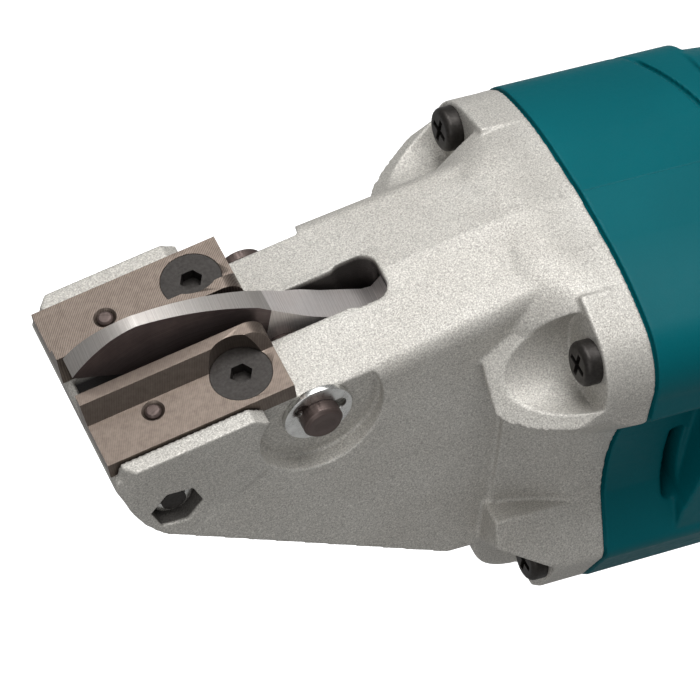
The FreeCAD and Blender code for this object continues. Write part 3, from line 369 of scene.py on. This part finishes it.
def finish_node(node, slot):
    """Gives a carried-over CAD node its material, softened edges and smooth shading."""
    obj = nodes[node]
    obj.data.materials.clear()
    obj.data.materials.append(OWN_MATERIAL.get(node, MATERIALS[slot]))
    weld(obj)
    bevel = obj.modifiers.new("bevel", "BEVEL")
    bevel.width = EDGE_BEVEL
    bevel.segments = 2
    bevel.limit_method = "ANGLE"
    bevel.angle_limit = math.radians(35)
    bevel.harden_normals = True
    shading = obj.modifiers.new("even_shading", "WEIGHTED_NORMAL")
    shading.mode = "FACE_AREA"
    shading.keep_sharp = True
    for polygon in obj.data.polygons:
        polygon.use_smooth = True


for part in frame["record"]["subparts"]:
    finish_node(part["node"], part["material_slot"])


# ---- cast and moulded shells ------------------------------------------------------------------------
def distance_from_axis(points, start, direction):
    """Distance of every point from a line."""
    offset = points - np.array(start)
    direction = np.array(Vector(direction).normalized())
    return np.linalg.norm(offset - np.outer(offset @ direction, direction), axis=1)


def mesh_points(mesh):
    points = np.empty(len(mesh.vertices) * 3)
    mesh.vertices.foreach_get("co", points)
    return points.reshape(-1, 3)


def soft_shell(node, voxel, rounds, keep_sharp):
    """Copy of a CAD node with an even fine mesh, whose edges are rounded and whose corners are
    filleted, as in a casting or a moulding, except where keep_sharp(points) says 1."""
    source = nodes[node]
    shell = bpy.data.objects.new(node + "_shell", source.data.copy())
    bpy.context.scene.collection.objects.link(shell)
    weld(shell)
    remesh = shell.modifiers.new("voxels", "REMESH")
    remesh.mode = "VOXEL"
    remesh.voxel_size = voxel
    remesh.use_smooth_shade = True
    bake(shell)
    group = shell.vertex_groups.new(name="soft")
    softness = 1 - np.clip(keep_sharp(mesh_points(shell.data)), 0, 1)
    levels = np.round(softness * 10).astype(int)
    for level in range(1, 11):
        chosen = np.flatnonzero(levels == level)
        if len(chosen):
            group.add(chosen.tolist(), level / 10, "REPLACE")
    smooth = shell.modifiers.new("soften", "SMOOTH")
    smooth.factor = 0.5
    smooth.iterations = rounds
    smooth.vertex_group = "soft"
    bake(shell)
    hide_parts(node)
    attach(shell, "tool_body")
    return shell


def bake(obj):
    """Applies an object's modifiers to its mesh."""
    bpy.context.view_layer.update()
    graph = bpy.context.evaluated_depsgraph_get()
    result = bpy.data.meshes.new_from_object(obj.evaluated_get(graph))
    obj.modifiers.clear()
    obj.data = result


def near(distance, reach, fade):
    """1 within reach, falling to 0 over fade."""
    return np.clip(1 - (distance - reach) / fade, 0, 1)


def blade_frame(points):
    """Distance behind the cutting mouth along the blades' slope, and height above their lips."""
    return points @ np.array(ALONG_SLOPE), points @ np.array(UP_SLOPE)


ACROSS = (0, 1, 0)
SPOT_RADIUS = 0.0133           # spot faces around the pivot pin's ends
NUT_POCKET_RADIUS = 0.0056


def casting_sharp(points):
    """Machined places of the gear housing: blade seat, slots, spot faces, hexagon pocket, seam. Its
    upper part, above the lower screws' shoulders, has tighter fillets than the rest."""
    along, height = blade_frame(points)
    across = np.abs(points[:, 1])
    seat = near(across, 0.0199, 0.0004) * near(along, 0.0395, 0.0006) * (height > -0.0125)
    slots = near(across, 0.0062, 0.0004) * near(along, 0.0672, 0.0005) * (height > -0.03)
    pin = distance_from_axis(points, middle("pivot_ring"), ACROSS)
    outer_face = near(-across, -0.0160, 0.0005)
    spot = near(np.abs(pin - SPOT_RADIUS), 0.0012, 0.0005) * outer_face
    spot_floor = near(pin, SPOT_RADIUS - 0.0003, 0.0003) * outer_face
    hexagon = near(distance_from_axis(points, middle("jaw_tie_nut"), ACROSS), NUT_POCKET_RADIUS, 0.0004)
    seam = near(-points[:, 0], -(SEAM_X - 0.0008), 0.0008)
    crisp = 0.30 * near(-points[:, 2], 0.030, 0.010)
    return np.maximum.reduce([seat, slots, spot, spot_floor, hexagon, seam, crisp])


def paint_slot_shade(shell):
    """Marks the blade slot and the deep pockets with painted shade, a near-black darkening where they lie in
    shadow.
    """
    points = mesh_points(shell.data)
    along, height = blade_frame(points)
    across = np.abs(points[:, 1])
    # painted shade for the deep blade slot and, at 0.8 strength, the hexagon nut pocket
    slot = near(across, 0.0060, 0.0003) * near(along, 0.066, 0.0005) * near(height, -0.0105, 0.0015)
    tie = distance_from_axis(points, middle("jaw_tie_nut"), ACROSS)
    nut_pocket = 0.8 * near(tie, NUT_POCKET_RADIUS, 0.0003) * near(across, 0.0226, 0.0003)
    layer = shell.data.attributes.new("painted_shade", "FLOAT", "POINT")
    layer.data.foreach_set("value", np.maximum(slot, nut_pocket).astype(np.float32))


def finish_shell(shell, name, slot):
    shell.name = name
    shell.data.materials.clear()
    shell.data.materials.append(MATERIALS[slot])


def gear_housing_casting():
    shell = soft_shell("gear_housing", 0.00033, 9, casting_sharp)
    paint_slot_shade(shell)
    finish_shell(shell, "gear_housing_casting", "cast_aluminium")


def housing_sharp(points):
    """Crisp places of the motor housing: its front end and the curved groove over it."""
    front = near(points[:, 0], SEAM_X + 0.0013, 0.0008)
    plan = np.hypot(points[:, 0] - GROOVE_CENTRE, points[:, 1])
    groove = near(np.abs(plan - GROOVE_RADIUS), 0.0008, 0.0005) * (points[:, 2] > 0.005)
    return np.maximum(front, groove)


def motor_housing_moulding():
    shell = soft_shell("motor_housing", 0.00034, 8, housing_sharp)
    score_line(shell)
    finish_shell(shell, "motor_housing_moulding", "teal_plastic")


SCORE_DEPTH = 0.00022          # also half its width


def score_line(shell):
    """Presses the mould's fine parting line into the top and the bottom, on the middle plane."""
    mesh = bmesh.new()
    mesh.from_mesh(shell.data)
    for y in (-SCORE_DEPTH, 0.0, SCORE_DEPTH):
        band = [item for kind in (mesh.verts, mesh.edges, mesh.faces) for item in kind]
        bmesh.ops.bisect_plane(mesh, geom=band, plane_co=(0, y, 0), plane_no=(0, 1, 0), dist=1e-7)
    for vertex in mesh.verts:
        if abs(vertex.co.y) < 1e-6 and abs(vertex.normal.z) > 0.8:
            vertex.co.z -= math.copysign(SCORE_DEPTH, vertex.normal.z)
    mesh.to_mesh(shell.data)
    mesh.free()


def handle_sharp(points):
    """The joint between the two halves of the handle stays crisp."""
    return near(np.abs(points[:, 1]), 0.0005, 0.0006)


def handle_mouldings():
    for side in ("left", "right"):
        shell = soft_shell("handle_" + side, 0.0005, 8, handle_sharp)
        finish_shell(shell, "handle_" + side + "_moulding", "teal_plastic")


SEAM_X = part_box("gear_housing")[1][0]
GROOVE_RADIUS = 0.090
GROOVE_CENTRE = SEAM_X + 0.03545 - GROOVE_RADIUS

gear_housing_casting()
motor_housing_moulding()
handle_mouldings()


# ---- stage ------------------------------------------------------------------------------------------
def floor_paper():
    """Mid-grey to the light it throws back on the tool, overexposed to pure white for the camera."""
    s = Shader("floor_paper")
    s.set(Base_Color=(0.36, 0.36, 0.36, 1.0), Roughness=0.9, Emission_Color=(1.0, 1.0, 1.0, 1.0))
    s.set(Emission_Strength=s.add("ShaderNodeLightPath").outputs["Is Camera Ray"])
    return s.material


def floor():
    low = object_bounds()[0].z
    bpy.ops.mesh.primitive_plane_add(size=8.0, location=(0, 0, low - 0.0005))
    plane = bpy.context.object
    plane.name = "floor"
    plane.data.materials.append(floor_paper())
    plane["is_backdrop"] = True


def area_light(name, place, aim, size, power):
    data = bpy.data.lights.new(name, "AREA")
    data.shape = "DISK"
    data.size = size
    data.energy = power
    light = bpy.data.objects.new(name, data)
    light.location = place
    light.rotation_mode = "QUATERNION"
    light.rotation_quaternion = (Vector(aim) - Vector(place)).to_track_quat("-Z", "Y")
    bpy.context.scene.collection.objects.link(light)


SKY_FOR_THE_TOOL = 0.24


def studio():
    """A big soft light overhead, a smaller one behind that the blades mirror, a weak fill from the near
    side, and a sky that is faint for the tool but pure white for the camera."""
    centre = (0.07, 0.0, 0.0)
    area_light("overhead", (0.20, 0.08, 1.6), centre, 1.4, 26)
    area_light("rear", (0.05, 1.0, 1.45), centre, 0.9, 5)
    area_light("fill", (-1.0, -1.2, 0.8), centre, 1.4, 6.5)
    world = bpy.data.worlds.new("studio")
    world.use_nodes = True
    tree = world.node_tree
    sky = tree.nodes["Background"]
    sky.inputs["Color"].default_value = (1.0, 1.0, 1.0, 1.0)
    seen = tree.nodes.new("ShaderNodeLightPath").outputs["Is Camera Ray"]
    strength = tree.nodes.new("ShaderNodeMapRange")
    strength.inputs["To Min"].default_value = SKY_FOR_THE_TOOL
    strength.inputs["To Max"].default_value = 1.0
    tree.links.new(seen, strength.inputs["Value"])
    tree.links.new(strength.outputs["Result"], sky.inputs["Strength"])
    bpy.context.scene.world = world
    bpy.context.scene.view_settings.view_transform = "Standard"


def camera():
    """Long lens from the front left, about 49 degrees above the tool, slightly rolled."""
    aim = Vector((0.0682, 0.0107, -0.0291))
    forward = Vector((0.35259, 0.54997, -0.75716)).normalized()
    right = Vector((0.90554, -0.40465, 0.12759)).normalized()
    data = bpy.data.cameras.new("camera")
    data.sensor_width = 36.0
    data.lens = 242.8
    data.clip_end = 20.0
    eye = bpy.data.objects.new("camera", data)
    up = right.cross(forward)
    turn = Matrix((right, up, -forward)).transposed().to_4x4()
    eye.matrix_world = Matrix.Translation(aim - forward * 0.942) @ turn
    bpy.context.scene.collection.objects.link(eye)
    bpy.context.scene.camera = eye


floor()
studio()
camera()

bpy.context.view_layer.update()
